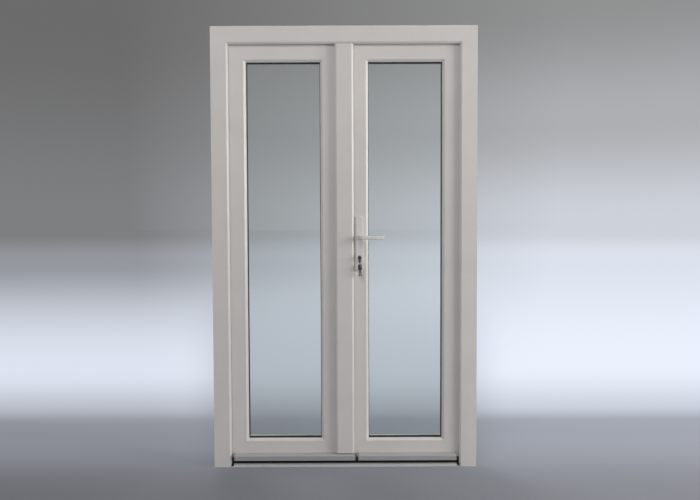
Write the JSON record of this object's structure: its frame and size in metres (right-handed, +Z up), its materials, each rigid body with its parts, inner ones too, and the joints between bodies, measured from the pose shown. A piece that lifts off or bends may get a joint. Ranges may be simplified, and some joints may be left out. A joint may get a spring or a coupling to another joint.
{
  "type": "french doors",
  "caption": "Double entrance door of white plastic profiles in its frame, with glazed inward-opening leaves, lever handle, key cylinder, weather bars and low threshold.",
  "frame": {"origin": "on the floor at the middle of the threshold, halfway through the frame's depth", "axes": "+X to the right seen from outside, +Y from outside to inside, +Z up"},
  "size_m": [1.2, 0.188, 2],
  "materials": {
    "white_profile": "satin white",
    "white_metal": "white powder coat",
    "black_rubber": "matt black",
    "black_plastic": "matt black",
    "clear_glass": "clear",
    "mill_aluminium": "satin grey",
    "galvanised_steel": "galvanised",
    "nickel": "satin nickel"
  },
  "bodies": {
    "fixed_frame": {"jamb_left": "white_profile", "jamb_right": "white_profile", "head": "white_profile", "frame_reinforcement": "galvanised_steel", "threshold_base": "mill_aluminium", "threshold_core": "black_plastic", "threshold_connectors": "black_plastic", "frame_gasket": "black_rubber", "shoot_bolt_keepers": "galvanised_steel", "hinge_frame_parts": "white_metal", "hinge_pins": "galvanised_steel"},
    "passive_leaf": {"passive_hinge_stile": "white_profile", "passive_meeting_stile": "white_profile", "passive_top_rail": "white_profile", "passive_bottom_rail": "white_profile", "passive_reinforcement": "galvanised_steel", "passive_glass": "clear_glass", "passive_spacer": "mill_aluminium", "passive_gaskets": "black_rubber", "passive_glazing_beads": "white_profile", "passive_weather_bar": "mill_aluminium", "passive_weather_bar_caps": "black_plastic", "passive_hinge_sash_parts": "white_metal", "astragal": "white_profile", "lock_keepers": "galvanised_steel", "shoot_bolt_strips": "galvanised_steel"},
    "active_leaf": {"active_lock_stile": "white_profile", "active_hinge_stile": "white_profile", "active_top_rail": "white_profile", "active_bottom_rail": "white_profile", "active_reinforcement": "galvanised_steel", "active_glass": "clear_glass", "active_spacer": "mill_aluminium", "active_gaskets": "black_rubber", "active_glazing_beads": "white_profile", "active_weather_bar": "mill_aluminium", "active_weather_bar_caps": "black_plastic", "active_hinge_sash_parts": "white_metal", "lock_faceplate": "galvanised_steel", "lock_cases": "galvanised_steel", "cylinder_body": "nickel", "outside_handle_plate": "white_metal", "inside_handle_plate": "white_metal"},
    "lever_set": {"outside_lever": "white_metal", "inside_lever": "white_metal", "spindle": "galvanised_steel"},
    "latch": {"latch_bolt": "nickel"},
    "lock_bolts": {"deadbolt": "nickel", "side_bolts": "nickel"},
    "lock_rods": {"drive_rods": "galvanised_steel"},
    "turned_key": {"cylinder_plug": "nickel", "key": "nickel"},
    "hanging_keys": {"key_ring": "nickel", "spare_keys": "nickel"},
    "top_bolt": {"top_shoot_bolt": "galvanised_steel"},
    "bottom_bolt": {"bottom_shoot_bolt": "galvanised_steel"}
  },
  "joints": [
    {"name": "active_leaf_swing", "type": "hinge", "parent": "fixed_frame", "child": "active_leaf", "pos_m": [0.564, 0.052, 0], "axis": [0, 0, -1], "range_deg": [0, 150]},
    {"name": "passive_leaf_swing", "type": "hinge", "parent": "fixed_frame", "child": "passive_leaf", "pos_m": [-0.564, 0.052, 0], "axis": [0, 0, 1], "range_deg": [0, 150]},
    {"name": "lever_turn", "type": "hinge", "parent": "active_leaf", "child": "lever_set", "pos_m": [0.068, 0.02, 1.051], "axis": [0, 1, 0], "range_deg": [0, 40], "stiffness_Nm_per_rad": 1.5, "springref_deg": -17.19},
    {"name": "latch_slide", "type": "slide", "parent": "active_leaf", "child": "latch", "axis": [1, 0, 0], "range_m": [0, 0.012]},
    {"name": "key_turn", "type": "hinge", "parent": "active_leaf", "child": "turned_key", "pos_m": [0.068, -0.02, 0.959], "axis": [0, 1, 0], "range_deg": [0, 90]},
    {"name": "lock_bolts_slide", "type": "slide", "parent": "active_leaf", "child": "lock_bolts", "axis": [-1, 0, 0], "range_m": [0, 0.018]},
    {"name": "lock_rods_slide", "type": "slide", "parent": "active_leaf", "child": "lock_rods", "axis": [0, 0, 1], "range_m": [0, 0.018]},
    {"name": "hanging_keys_turn", "type": "hinge", "parent": "turned_key", "child": "hanging_keys", "pos_m": [0.068, -0.0456, 0.9485], "axis": [0, 1, 0], "range_deg": [-90, 0]},
    {"name": "top_bolt_slide", "type": "slide", "parent": "passive_leaf", "child": "top_bolt", "axis": [0, 0, 1], "range_m": [0, 0.022]},
    {"name": "bottom_bolt_slide", "type": "slide", "parent": "passive_leaf", "child": "bottom_bolt", "axis": [0, 0, -1], "range_m": [0, 0.022]}
  ],
  "couplings": [
    {"joint": "passive_leaf_swing", "follows": "active_leaf_swing", "ratio": 0.5},
    {"joint": "latch_slide", "follows": "lever_turn", "m_per_rad": 0.017188},
    {"joint": "key_turn", "follows": "lock_bolts_slide", "rad_per_m": 87.266},
    {"joint": "lock_rods_slide", "follows": "lock_bolts_slide", "ratio": 1},
    {"joint": "hanging_keys_turn", "follows": "lock_bolts_slide", "rad_per_m": -87.266}
  ]
}
